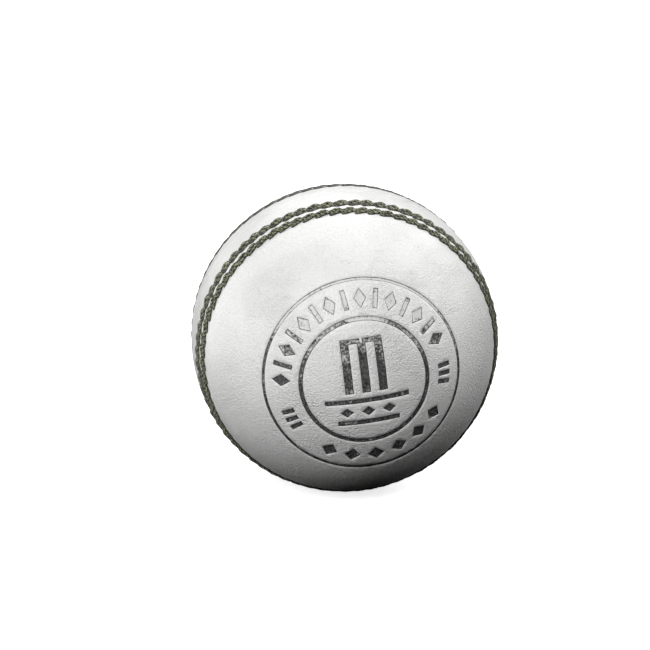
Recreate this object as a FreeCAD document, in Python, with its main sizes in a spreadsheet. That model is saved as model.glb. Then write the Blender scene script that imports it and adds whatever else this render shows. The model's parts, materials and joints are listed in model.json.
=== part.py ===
import FreeCAD, Part
import math
import os

import Sketcher
from FreeCAD import Placement, Rotation, Vector

# Cricket ball with a two-piece leather cover, in millimetres.
#
# The ball's centre is the origin and +Z is up. The two leather cups meet in the XZ plane. The
# stamped cup faces -Y and the plain one +Y. Each cup, with its lining, stitches and stamp, is
# drawn with its pole along +Z and the join at z = 0, and its Placement then turns it to its side.

# alias, value, what it is. Lengths are in mm and angles in degrees.
SIZES = [
    ("ball_dia", 72.0, "leather ball, across the join, without the raised stitches"),
    ("cover_wall", 3.6, "leather of a cup"),
    ("join_round", 0.25, "rounding of the two leather edges where the cups meet"),
    ("lining_wall", 1.0, "leather strip glued inside a cup's rim"),
    ("lining_reach", 14.0, "strip's width, measured round the ball from the join"),
    ("thread_dia", 1.9, "doubled green thread of the seam rows"),
    ("thread_proud", 0.5, "how far a green stitch stands above the leather"),
    ("stitch_gap", 0.1, "left between a green stitch and the next one in its row"),
    ("stitch_slant", 18.0, "turn of a green stitch from the line of its row"),
    ("stitch_count", 70.0, "green stitches in one row"),
    ("inner_row", 7.1, "round the ball from the join to the row beside it"),
    ("row_step", 3.4, "round the ball from the inner row to the outer row"),
    ("closing_count", 72.0, "hidden stitches that hold the cups together"),
    ("closing_dia", 0.8, "thread of the hidden stitches"),
    ("closing_span", 5.0, "length of a hidden stitch across the join"),
    ("closing_depth", 1.5, "middle of a hidden stitch below the leather's face"),
    ("nucleus_side", 16.0, "cork block at the centre, across its flats"),
    ("nucleus_round", 3.0, "rounding of the cork block's edges"),
    ("first_winding", 2.5, "yarn over the corners of the cork block"),
    ("slip_wall", 1.2, "cork slips laid on between two windings"),
    ("slip_gap", 5.0, "angle left between two slips"),
    ("slip_lean", 66.0, "how far a slip reaches each way from the middle of its layer"),
    ("stamp_side", 1.6, "angle of the stamp's centre from the pole, to the right"),
    ("stamp_lift", 0.7, "angle of the stamp's centre from the pole, upwards"),
    ("stamp_turn", 6.0, "turn of the stamp, anticlockwise from upright"),
    ("stamp_depth", 0.25, "how deep the stamp is pressed into the leather"),
    ("foil_wall", 0.12, "foil on the floor of the pressed marks"),
    ("inner_ring", 15.4, "round the ball from the stamp's centre to its inner ring"),
    ("inner_line", 1.1, "width of the inner ring's line"),
    ("outer_ring", 25.0, "round the ball from the stamp's centre to its outer ring"),
    ("outer_line", 0.8, "width of the outer ring's line"),
    ("stroke", 1.2, "width of the stamp's finer marks"),
    ("border_gap", 1.9, "left between a border mark and the ring on either side"),
    ("border_wide", 3.2, "width of a border lozenge"),
    ("foot_wide", 4.0, "width of a lozenge at the stamp's foot"),
]

# How many cork slips lie in each layer, from the middle out, and how each layer is turned.
SLIP_LAYERS = [(5, 0.0), (6, 90.0), (7, 35.0), (8, 60.0)]

# The stamp's border, as angles anticlockwise from the stamp's right-hand side.
BORDER_FROM, BORDER_TO, BORDER_COUNT = 20.0, 174.0, 15
FOOT_FROM, FOOT_TO, FOOT_COUNT = 240.0, 324.0, 6
SIDE_MARKS = [198.0, 204.0, 210.0, 348.0, 354.0, 0.0]

# Heights as shares of the band between the border's two gaps.
FOOT_TALL, SIDE_TALL = 0.82, 0.7

# The emblem, as shares of the clear radius inside the stamp's inner ring.
WICKET_TALL, WICKET_WIDE, STUMP_WIDE, WICKET_FOOT = 0.88, 0.68, 0.135, -0.15
UPPER_CREASE, LOWER_CREASE = (-0.28, 1.36), (-0.66, 1.0)
CREASE_MARKS, CREASE_STEP = 3, 0.34

BALL_R = "Sizes.ball_dia / 2"
COVER_IN = "(Sizes.ball_dia / 2 - Sizes.cover_wall)"
LINING_OUT = "(Sizes.ball_dia / 2 - Sizes.cover_wall + Sizes.lining_wall)"
NUCLEUS_REACH = "((Sizes.nucleus_side / 2 - Sizes.nucleus_round) * sqrt(3) + Sizes.nucleus_round)"
FIRST_OUT = f"({NUCLEUS_REACH} + Sizes.first_winding)"
WINDING_WALL = (
    f"(({COVER_IN} - {FIRST_OUT} - {len(SLIP_LAYERS)} * Sizes.slip_wall) / {len(SLIP_LAYERS)})"
)

FRONT = Placement(Vector(0, 0, 0), Rotation(Vector(1, 0, 0), 90))
BACK = Placement(Vector(0, 0, 0), Rotation(Vector(1, 0, 0), -90))
CENTRE = Vector(0, 0, 0)
POLE = Vector(0, 0, 1)


def make_sheet(doc):
    """The driving dimensions, one row each: what it is, then its value."""
    sheet = doc.addObject("Spreadsheet::Sheet", "Sizes")
    for row, (alias, value, note) in enumerate(SIZES, start=1):
        sheet.set(f"A{row}", note)
        sheet.set(f"B{row}", str(value))
        sheet.setAlias(f"B{row}", alias)
    doc.recompute()
    return sheet


def add(doc, kind, name, fixed=None, **bound):
    """A document object with some properties set and others bound to the sheet."""
    item = doc.addObject(kind, name)
    for prop, value in (fixed or {}).items():
        setattr(item, prop, value)
    for prop, expression in bound.items():
        item.setExpression(prop, expression)
    return item


def add_shape(doc, name, shape):
    """A document object whose shape was worked out from the sheet's values."""
    item = doc.addObject("Part::Feature", name)
    item.Shape = shape
    return item


def cut(doc, name, base, tool):
    return add(doc, "Part::Cut", name, {"Base": base, "Tool": tool})


def common(doc, name, base, tool):
    return add(doc, "Part::Common", name, {"Base": base, "Tool": tool})


def gather(doc, name, items):
    return add(doc, "Part::Compound", name, {"Links": items})


def finished(item, label, placement=None):
    """Name a finished sub-part and put it in its place."""
    item.Label = label
    if placement is not None:
        item.Placement = placement
    return item


# The core: a cork block, then yarn and cork slips in turn.


def make_nucleus(doc, sheet):
    """A rounded block of cork: a square, padded both ways and filleted on all its edges."""
    body = doc.addObject("PartDesign::Body", "NucleusBody")
    plane = next(f for f in body.Origin.OriginFeatures if f.Role == "XY_Plane")
    sketch = body.newObject("Sketcher::SketchObject", "NucleusSquare")
    sketch.AttachmentSupport = (plane, [""])
    sketch.MapMode = "FlatFace"
    half = sheet.nucleus_side / 2
    corners = [Vector(x * half, y * half, 0) for x, y in ((-1, -1), (1, -1), (1, 1), (-1, 1))]
    for start, end in zip(corners, corners[1:] + corners[:1]):
        sketch.addGeometry(Part.LineSegment(start, end), False)
    for line in range(4):
        sketch.addConstraint(Sketcher.Constraint("Coincident", line, 2, (line + 1) % 4, 1))
        sketch.addConstraint(Sketcher.Constraint("Vertical" if line % 2 else "Horizontal", line))
    sketch.addConstraint(Sketcher.Constraint("Symmetric", 0, 1, 1, 2, -1, 1))
    for direction, line in (("DistanceX", 0), ("DistanceY", 1)):
        side = sketch.addConstraint(Sketcher.Constraint(direction, line, 1, line, 2, 2 * half))
        sketch.setExpression(f"Constraints[{side}]", "Sizes.nucleus_side")

    pad = body.newObject("PartDesign::Pad", "NucleusPad")
    pad.Profile = sketch
    pad.Midplane = True
    pad.setExpression("Length", "Sizes.nucleus_side")
    doc.recompute()

    fillet = body.newObject("PartDesign::Fillet", "NucleusFillet")
    fillet.Base = (pad, [f"Edge{edge}" for edge in range(1, len(pad.Shape.Edges) + 1)])
    fillet.setExpression("Radius", "Sizes.nucleus_round")
    body.Tip = fillet
    return finished(body, "cork_nucleus")


def layer_radius(layer):
    """Inside radius of a layer of cork slips, as an expression. Layers count from 0."""
    return f"({FIRST_OUT} + {layer} * (Sizes.slip_wall + {WINDING_WALL}))"


def make_core(doc, sheet):
    """Five windings of yarn with four layers of cork slips between them."""
    nucleus = make_nucleus(doc, sheet)
    parts = [nucleus]

    ball = add(doc, "Part::Sphere", "Winding1Outside", Radius=FIRST_OUT)
    parts.append(finished(cut(doc, "Winding1", ball, nucleus), "yarn_winding_1"))

    for layer, (count, turn) in enumerate(SLIP_LAYERS):
        inside = layer_radius(layer)
        parts.append(make_slips(doc, layer, count, turn, inside))
        number = layer + 2
        outer = add(doc, "Part::Sphere", f"Winding{number}Outside", Radius=layer_radius(layer + 1))
        inner = add(doc, "Part::Sphere", f"Winding{number}Inside", Radius=f"{inside} + Sizes.slip_wall")
        if number == len(SLIP_LAYERS) + 1:
            outer.setExpression("Radius", COVER_IN)
        parts.append(finished(cut(doc, f"Winding{number}", outer, inner), f"yarn_winding_{number}"))
    return parts


def make_slips(doc, layer, count, turn, inside):
    """One layer of cork slips: curved strips side by side round the core, with gaps between."""
    wedges = []
    for slip in range(count):
        wedge = add(
            doc, "Part::Sphere", f"Slip{layer + 1}Wedge{slip + 1}",
            Radius=f"{inside} + Sizes.slip_wall",
            Angle1="-Sizes.slip_lean",
            Angle2="Sizes.slip_lean",
            Angle3=f"{360 / count} - Sizes.slip_gap",
        )
        wedge.Placement = Placement(CENTRE, Rotation(POLE, slip * 360 / count))
        wedges.append(wedge)
    hollow = add(doc, "Part::Sphere", f"Slip{layer + 1}Inside", Radius=inside)
    slips = cut(doc, f"Slips{layer + 1}", gather(doc, f"Slip{layer + 1}Wedges", wedges), hollow)
    tilt = Placement(CENTRE, Rotation(Vector(1, 0.4, 0), turn))
    return finished(slips, f"cork_slips_{layer + 1}", tilt)


# The stitches.


def stitch_span(sheet, row_r):
    """Length between a stitch's round ends that leaves the wanted gap to the next stitch."""
    pitch = 2 * math.pi * row_r / round(sheet.stitch_count)
    slant = math.radians(sheet.stitch_slant)
    apart = sheet.thread_dia + sheet.stitch_gap
    return pitch * math.cos(slant) - math.sqrt(max(apart**2 - (pitch * math.sin(slant)) ** 2, 0))


def make_row(doc, sheet, name, reach):
    """One row of green stitches, each a short slanted length of thread sunk into the leather."""
    ball_r = sheet.ball_dia / 2
    thread_r = sheet.thread_dia / 2
    latitude = math.degrees(reach / ball_r)
    depth_r = ball_r + sheet.thread_proud - thread_r
    row_r = depth_r * math.cos(math.radians(latitude))
    half = stitch_span(sheet, row_r) / 2

    barrel = Part.makeCylinder(thread_r, 2 * half, Vector(-half, 0, 0), Vector(1, 0, 0))
    ends = [Part.makeSphere(thread_r, Vector(x, 0, 0)) for x in (-half, half)]
    stitch = barrel.fuse(ends).removeSplitter()
    stitch.rotate(CENTRE, POLE, sheet.stitch_slant)

    # The flat stitch faces +Z. It goes to latitude and longitude zero with its length to the east.
    stand = Placement(CENTRE, Rotation(Vector(0, 1, 0), Vector(0, 0, 1), Vector(1, 0, 0)))
    stitch.Placement = stand.multiply(stitch.Placement)
    stitch.translate(Vector(depth_r, 0, 0))
    stitch.rotate(CENTRE, Vector(0, 1, 0), -latitude)
    count = round(sheet.stitch_count)
    copies = []
    for number in range(count):
        copy = stitch.copy()
        copy.rotate(CENTRE, POLE, number * 360 / count)
        copies.append(copy)
    return add_shape(doc, name, Part.makeCompound(copies))


def make_closing(doc, sheet):
    """The hidden stitches: short threads across the join, inside the leather of both cups."""
    ring_r = sheet.ball_dia / 2 - sheet.closing_depth
    count = round(sheet.closing_count)
    threads = []
    for number in range(count):
        angle = 2 * math.pi * number / count
        foot = Vector(ring_r * math.cos(angle), ring_r * math.sin(angle), -sheet.closing_span / 2)
        threads.append(Part.makeCylinder(sheet.closing_dia / 2, sheet.closing_span, foot, POLE))
    return add_shape(doc, "ClosingThreads", Part.makeCompound(threads))


# The stamp. Its marks are drawn flat, in mm round the ball from the stamp's centre.


def on_die(ball_r, right, up):
    """Where a point of the flat drawing comes on the die, which is pressed along the pole."""
    reach = math.hypot(right, up)
    if reach == 0:
        return Vector(0, 0, 0)
    shrink = ball_r * math.sin(reach / ball_r) / reach
    return Vector(right * shrink, up * shrink, 0)


def prism(ball_r, corners):
    """A mark with straight sides, as a block that passes through the front of the ball."""
    points = [on_die(ball_r, right, up) for right, up in corners]
    face = Part.Face(Part.makePolygon(points + points[:1]))
    return face.extrude(POLE * (2 * ball_r))


def bar(right, up, wide, tall):
    """Corners of an upright rectangle about its middle."""
    return [(right + x * wide / 2, up + y * tall / 2) for x, y in ((-1, -1), (1, -1), (1, 1), (-1, 1))]


def lozenge(right, up, wide, tall):
    """Corners of a lozenge about its middle."""
    return [(right + x * wide / 2, up + y * tall / 2) for x, y in ((0, -1), (1, 0), (0, 1), (-1, 0))]


def round_ring(corners, reach, angle):
    """Move a mark drawn upright at the centre out to the border, with its top outwards."""
    turn = math.radians(angle - 90)
    moved = [(right, up + reach) for right, up in corners]
    return [
        (right * math.cos(turn) - up * math.sin(turn), right * math.sin(turn) + up * math.cos(turn))
        for right, up in moved
    ]


def spread(first, last, count):
    """Evenly spaced angles, both ends included."""
    return [first + (last - first) * step / (count - 1) for step in range(count)]


def wicket_outline(left, foot, shoulder, top, stump_wide, notch):
    """Corners of three stumps under two bails, symmetrical about right = 0."""
    half = stump_wide / 2
    comb = []
    for middle in (left + half, 0, -left - half):
        comb += [(middle - half, shoulder), (middle - half, foot)]
        comb += [(middle + half, foot), (middle + half, shoulder)]
    bails = [(-left, top), (notch, top), (notch, shoulder)]
    bails += [(-notch, shoulder), (-notch, top), (left, top)]
    return comb[1:-1] + bails


def draw_wicket(sheet):
    """Three stumps with two bails on top, and below them two crease lines with lozenges between."""
    ball_r = sheet.ball_dia / 2
    clear = sheet.inner_ring - sheet.inner_line / 2
    foot = clear * WICKET_FOOT
    top = foot + clear * WICKET_TALL
    wicket = wicket_outline(
        -clear * WICKET_WIDE / 2, foot, top - sheet.stroke, top, clear * STUMP_WIDE, sheet.stroke / 4
    )

    creases = [bar(0, clear * up, clear * wide, sheet.stroke) for up, wide in (UPPER_CREASE, LOWER_CREASE)]
    middle = clear * (UPPER_CREASE[0] + LOWER_CREASE[0]) / 2
    for step in range(CREASE_MARKS):
        right = clear * CREASE_STEP * (step - (CREASE_MARKS - 1) / 2)
        creases.append(lozenge(right, middle, sheet.border_wide, 2 * sheet.stroke))
    return [prism(ball_r, outline) for outline in [wicket] + creases]


def border_band(sheet):
    """Middle and height of the band of marks between the stamp's two rings."""
    inside = sheet.inner_ring + sheet.inner_line / 2 + sheet.border_gap
    outside = sheet.outer_ring - sheet.outer_line / 2 - sheet.border_gap
    return (inside + outside) / 2, outside - inside


def draw_border(sheet):
    """Bars and lozenges in turn round the top, and short bars at both sides."""
    ball_r = sheet.ball_dia / 2
    middle, tall = border_band(sheet)
    blocks = []
    for number, angle in enumerate(spread(BORDER_FROM, BORDER_TO, BORDER_COUNT)):
        if number % 2:
            outline = bar(0, 0, sheet.stroke, tall)
        else:
            outline = lozenge(0, 0, sheet.border_wide, tall)
        blocks.append(prism(ball_r, round_ring(outline, middle, angle)))
    for angle in SIDE_MARKS:
        outline = bar(0, 0, sheet.stroke, tall * SIDE_TALL)
        blocks.append(prism(ball_r, round_ring(outline, middle, angle)))
    return blocks


def draw_foot(sheet):
    """Solid lozenges along the foot of the border."""
    ball_r = sheet.ball_dia / 2
    middle, tall = border_band(sheet)
    outline = lozenge(0, 0, sheet.foot_wide, tall * FOOT_TALL)
    return [
        prism(ball_r, round_ring(outline, middle, angle))
        for angle in spread(FOOT_FROM, FOOT_TO, FOOT_COUNT)
    ]


def draw_ring(doc, name, reach, line):
    """A ring of the stamp, as a tube that passes through the front of the ball."""
    outer = f"{BALL_R} * sin((Sizes.{reach} + Sizes.{line} / 2) / ({BALL_R}) * 180 / pi)"
    inner = f"{BALL_R} * sin((Sizes.{reach} - Sizes.{line} / 2) / ({BALL_R}) * 180 / pi)"
    tubes = [
        add(doc, "Part::Cylinder", f"{name}{place}", Radius=radius, Height="Sizes.ball_dia")
        for place, radius in (("Outside", outer), ("Inside", inner))
    ]
    return cut(doc, name, *tubes)


def make_stamp(doc, sheet):
    """The blocks of the stamp, the foil under each and the recess that they press."""
    sideways = Rotation(Vector(0, 1, 0), sheet.stamp_side)
    upwards = Rotation(Vector(1, 0, 0), -sheet.stamp_lift)
    aim = Placement(CENTRE, sideways.multiply(upwards).multiply(Rotation(POLE, sheet.stamp_turn)))

    blocks = {
        "stamp_inner_ring": draw_ring(doc, "InnerRing", "inner_ring", "inner_line"),
        "stamp_outer_ring": draw_ring(doc, "OuterRing", "outer_ring", "outer_line"),
        "stamp_wicket": add_shape(doc, "Wicket", Part.makeCompound(draw_wicket(sheet))),
        "stamp_border": add_shape(doc, "Border", Part.makeCompound(draw_border(sheet))),
        "stamp_foot_lozenges": add_shape(doc, "Foot", Part.makeCompound(draw_foot(sheet))),
    }
    for block in blocks.values():
        block.Placement = aim

    floor = add(doc, "Part::Sphere", "StampFloor", Radius=f"{BALL_R} - Sizes.stamp_depth")
    foil_top = add(doc, "Part::Sphere", "FoilTop", Radius=f"{BALL_R} - Sizes.stamp_depth + Sizes.foil_wall")
    foil = cut(doc, "FoilShell", foil_top, floor)

    die = gather(doc, "Die", list(blocks.values()))
    recess = cut(doc, "StampRecess", die, floor)
    parts = [
        finished(common(doc, f"Foil{number}", block, foil), label, FRONT)
        for number, (label, block) in enumerate(blocks.items(), start=1)
    ]
    return recess, parts


# The cover.


def make_lining(doc, side, placement):
    """A leather strip glued inside the cup's rim, to stiffen it under the stitches."""
    reach = f"Sizes.lining_reach / ({BALL_R}) * 180 / pi"
    outer = add(doc, "Part::Sphere", f"{side}LiningOutside", {"Angle1": 0}, Radius=LINING_OUT, Angle2=reach)
    inner = add(doc, "Part::Sphere", f"{side}LiningInside", Radius=COVER_IN)
    lining = cut(doc, f"{side}Lining", outer, inner)
    return finished(lining, f"{side.lower()}_rim_lining", placement)


def make_cup(doc, side, presses, placement):
    """One leather cup: a half ball, hollowed for the core and the rim's lining, then pressed."""
    reach = f"Sizes.lining_reach / ({BALL_R}) * 180 / pi"
    outside = add(doc, "Part::Sphere", f"{side}Outside", {"Angle1": 0}, Radius=BALL_R)
    hollow = add(doc, "Part::Sphere", f"{side}Hollow", Radius=COVER_IN)
    seat = add(doc, "Part::Sphere", f"{side}Seat", {"Angle1": -10}, Radius=LINING_OUT, Angle2=reach)
    join = add(doc, "Part::Torus", f"{side}Join", Radius1=BALL_R, Radius2="Sizes.join_round")
    cup = cut(doc, f"{side}Shell", outside, hollow)
    cup = cut(doc, f"{side}Rebated", cup, seat)
    cup = cut(doc, f"{side}Eased", cup, join)
    for number, press in enumerate(presses, start=1):
        cup = cut(doc, f"{side}Pressed{number}", cup, press)
    return finished(cup, f"{side.lower()}_cover", placement)


def make_cover(doc, sheet):
    """Both cups, with their linings, rows of stitches, hidden stitches and stamp."""
    closing = make_closing(doc, sheet)
    recess, parts = make_stamp(doc, sheet)
    for side, placement, marks in (("Front", FRONT, [recess]), ("Back", BACK, [])):
        rows = [
            make_row(doc, sheet, f"{side}InnerRow", sheet.inner_row),
            make_row(doc, sheet, f"{side}OuterRow", sheet.inner_row + sheet.row_step),
        ]
        parts.append(make_cup(doc, side, rows + [closing] + marks, placement))
        parts.append(make_lining(doc, side, placement))
        for row, place in zip(rows, ("inner", "outer")):
            shown = add_shape(doc, f"{side}{place.title()}Stitches", row.Shape.copy())
            parts.append(finished(shown, f"{side.lower()}_{place}_stitches", placement))
    shown = add_shape(doc, "ClosingStitches", closing.Shape.copy())
    parts.append(finished(shown, "closing_stitches", FRONT))
    return parts


def check(doc, parts):
    """Stop before writing anything if the document or a sub-part isn't sound."""
    failed = [item.Name for item in doc.Objects if {"Invalid", "Error"} & set(item.State)]
    if failed:
        raise RuntimeError(f"objects that failed: {failed}")
    for part in parts:
        if part.Shape.isNull() or not part.Shape.isValid() or not part.Shape.Solids:
            raise RuntimeError(f"{part.Label} has no sound solid")


def main():
    doc = FreeCAD.newDocument("CricketBall")
    sheet = make_sheet(doc)
    parts = make_core(doc, sheet) + make_cover(doc, sheet)
    doc.recompute()
    check(doc, parts)

    os.makedirs("parts", exist_ok=True)
    for part in parts:
        part.Shape.exportStep(os.path.join("parts", f"{part.Label}.step"))
        print(f"{part.Label}: {len(part.Shape.Solids)} solids, {part.Shape.Volume:.1f} mm3")


main()
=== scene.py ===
import json
import math
from functools import partial

import bpy
import numpy as np
from bpy.props import FloatProperty, FloatVectorProperty, IntProperty, PointerProperty
from mathutils import Matrix, Vector, geometry, kdtree


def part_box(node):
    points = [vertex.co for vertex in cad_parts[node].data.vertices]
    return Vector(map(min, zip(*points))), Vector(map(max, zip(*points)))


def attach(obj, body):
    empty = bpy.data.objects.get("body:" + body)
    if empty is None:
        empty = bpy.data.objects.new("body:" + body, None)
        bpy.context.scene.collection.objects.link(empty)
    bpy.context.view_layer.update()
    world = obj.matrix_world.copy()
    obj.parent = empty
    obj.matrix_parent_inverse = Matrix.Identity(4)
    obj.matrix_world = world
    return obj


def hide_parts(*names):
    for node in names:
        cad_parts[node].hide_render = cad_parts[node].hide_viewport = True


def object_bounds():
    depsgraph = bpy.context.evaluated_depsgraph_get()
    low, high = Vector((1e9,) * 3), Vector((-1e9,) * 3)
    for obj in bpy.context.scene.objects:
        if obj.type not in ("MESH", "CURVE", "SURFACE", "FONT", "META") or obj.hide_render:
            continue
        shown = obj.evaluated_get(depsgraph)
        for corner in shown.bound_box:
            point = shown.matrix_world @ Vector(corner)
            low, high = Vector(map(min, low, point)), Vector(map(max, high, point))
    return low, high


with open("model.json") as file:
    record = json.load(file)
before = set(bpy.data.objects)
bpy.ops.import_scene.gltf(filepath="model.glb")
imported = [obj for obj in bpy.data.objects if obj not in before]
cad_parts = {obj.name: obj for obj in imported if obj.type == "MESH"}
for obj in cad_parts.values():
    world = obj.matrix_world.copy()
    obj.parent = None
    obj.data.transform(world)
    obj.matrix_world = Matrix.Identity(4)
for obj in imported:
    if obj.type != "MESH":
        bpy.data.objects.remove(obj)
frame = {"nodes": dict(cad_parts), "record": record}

# A cricket ball with a two-piece white leather cover, dressed over its CAD model. The ball's centre
# is the origin, the cups meet in the XZ plane and the stamped cup faces -Y. Lengths in the code are
# in millimetres, and MM turns them to metres where a mesh is written.

bl_info = {
    "name": "Cricket Ball",
    "version": (1, 0, 0),
    "blender": (4, 5, 0),
    "location": "View3D > Sidebar > Cricket Ball",
    "description": "Leather cups, seam stitching and foil stamp of a cricket ball",
    "category": "Add Mesh",
}

MM = 0.001
CAD_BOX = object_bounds()
BALL_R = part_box("front_cover")[1][0] / MM
SIDES = {"front": -1, "back": 1}


# Sizes and colours that a user would change.


class SeamSizes(bpy.types.PropertyGroup):
    """Sizes of the green stitching, in millimetres."""

    count: IntProperty(name="Stitches", description="Stitches in one row", default=70, min=12)
    inner_row: FloatProperty(name="Inner row", description="Round the ball from the join", default=7.1)
    outer_row: FloatProperty(name="Outer row", description="Round the ball from the join", default=10.45)
    slant: FloatProperty(name="Slant", description="Turn of a stitch from its row",
                         default=math.radians(16), subtype="ANGLE")
    length: FloatProperty(name="Length", description="Length of a stitch from end to end", default=4.4)
    inner_strand: FloatProperty(name="Inner strand", description="Thickness of a strand in the inner rows",
                                default=1.65)
    outer_strand: FloatProperty(name="Outer strand", description="Thickness of a strand in the outer rows",
                                default=0.95)
    inner_apart: FloatProperty(name="Inner apart", description="Between an inner stitch's two strands, "
                               "from middle to middle", default=1.35)
    outer_apart: FloatProperty(name="Outer apart", description="Between an outer stitch's two strands, "
                               "from middle to middle", default=1.2)
    proud: FloatProperty(name="Proud", description="Height of the thread above the leather", default=0.55)
    arch: FloatProperty(name="Arch", description="Bow of a stitch towards the join", default=0.2)
    curl: FloatProperty(name="Curl", description="Turn of a stitch's end towards its hole", default=1.35)
    ply: FloatProperty(name="Ply", description="Depth of the groove between the twisted plies",
                       default=0.06)
    twists: FloatProperty(name="Twists", description="Turns of the plies in one stitch", default=2.4)
    fuzz: FloatProperty(name="Fuzz", description="Length of the loose fibres", default=0.5)
    seed: IntProperty(name="Seed", description="Changes the unevenness of the stitches", default=4)
    back_proud: FloatProperty(name="Proud, back", description="Height of the thread on the plain cup",
                              default=0.3)
    back_shift: FloatProperty(name="Shift, back", description="How much farther the plain cup's inner row "
                              "is from the join", default=0.3)
    back_curl: FloatProperty(name="Curl, back", description="Turn of an end in that row, which is sewn "
                             "the other way", default=-0.9)
    back_strand: FloatProperty(name="Strand, back", description="Thickness of a strand in that row",
                               default=1.35)
    back_apart: FloatProperty(name="Apart, back", description="Between that row's two strands, from middle "
                              "to middle", default=1.15)


class StampSizes(bpy.types.PropertyGroup):
    """Sizes of the stamp, in millimetres."""

    side: FloatProperty(name="Side", description="Turn of the stamp's centre to the right of the pole",
                        default=math.radians(1.6), subtype="ANGLE")
    lift: FloatProperty(name="Lift", description="Turn of the stamp's centre above the pole",
                        default=math.radians(0.7), subtype="ANGLE")
    turn: FloatProperty(name="Turn", description="Turn of the stamp from upright",
                        default=math.radians(6.0), subtype="ANGLE")
    depth: FloatProperty(name="Depth", description="How deep the marks are pressed", default=0.22)
    inner_ring: FloatProperty(name="Inner ring", description="Radius of the inner ring", default=15.4)
    inner_line: FloatProperty(name="Inner line", description="Width of the inner ring", default=1.1)
    outer_ring: FloatProperty(name="Outer ring", description="Radius of the outer ring", default=25.0)
    outer_line: FloatProperty(name="Outer line", description="Width of the outer ring", default=0.8)
    stroke: FloatProperty(name="Stroke", description="Width of the finer marks", default=1.2)
    border_gap: FloatProperty(name="Border gap", description="From a border mark to a ring", default=1.9)
    border_wide: FloatProperty(name="Border width", description="Width of a border lozenge", default=3.2)
    foot_wide: FloatProperty(name="Foot width", description="Width of a lozenge at the foot", default=4.0)


def colour(hex_code):
    """An sRGB hex colour as linear red, green and blue, with full alpha."""
    channels = [int(hex_code[i:i + 2], 16) / 255 for i in (0, 2, 4)]
    return [c / 12.92 if c <= 0.04045 else ((c + 0.055) / 1.055) ** 2.4 for c in channels] + [1.0]


def colour_property(name, description, hex_code):
    """A colour that a user can change."""
    return FloatVectorProperty(name=name, description=description, subtype="COLOR", size=4,
                               default=colour(hex_code), min=0, max=1)


class BallColours(bpy.types.PropertyGroup):
    """Colours of the ball's materials."""

    leather: colour_property("Leather", "White finish of the cover", "F1F1F0")
    leather_dull: colour_property("Leather, dull", "Where the white finish is thin", "D6D6D4")
    leather_scuff: colour_property("Leather, scuffed", "Specks and scuffs in the finish", "A9A8A3")
    # The thread's two colours are its lit and shaded sides: painted light on the crowns of its fibres,
    # painted shade between them and where the thread meets the leather.
    thread: colour_property("Thread", "Lit fibres of the seam thread", "C8CAA2")
    thread_shaded: colour_property("Thread, deep", "Between the fibres of the seam thread", "0C0F05")
    foil: colour_property("Foil", "Stamped foil", "7A7B7B")
    foil_dark: colour_property("Foil, dark", "Foil where it is thick", "1C1D1C")


# Shader and geometry trees.

VECTOR_MATH, RANGE = "ShaderNodeVectorMath", "ShaderNodeMapRange"
MIX, NOISE, CELLS = "ShaderNodeMix", "ShaderNodeTexNoise", "ShaderNodeTexVoronoi"
XYZ = "ShaderNodeCombineXYZ"


def add(tree, kind, inputs=(), **settings):
    """Add a node with its settings, and give each input a value or a link from another node.

    A kind in capitals, such as POWER, is what a mathematics node works out.
    """
    if kind.isupper():
        kind, settings["operation"] = "ShaderNodeMath", kind
    made = tree.nodes.new(kind)
    for name, value in settings.items():
        setattr(made, name, value)
    for key, value in inputs.items() if isinstance(inputs, dict) else enumerate(inputs):
        socket = made.inputs[key] if isinstance(key, int) else next(
            s for s in made.inputs if s.name == key and s.enabled)
        if isinstance(value, bpy.types.Node):
            value = next(s for s in value.outputs if s.enabled)
        if isinstance(value, bpy.types.NodeSocket):
            tree.links.new(value, socket)
        else:
            socket.default_value = value
    return made


def start_material(name):
    """A new material with an empty tree."""
    material = bpy.data.materials.new(name)
    material.use_nodes = True
    material.node_tree.nodes.clear()
    return material, material.node_tree


def sized(place, size_mm, **more):
    """The inputs of a pattern whose grains are this far apart."""
    return {"Vector": place, "Scale": 1 / (size_mm * MM), **more}


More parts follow.
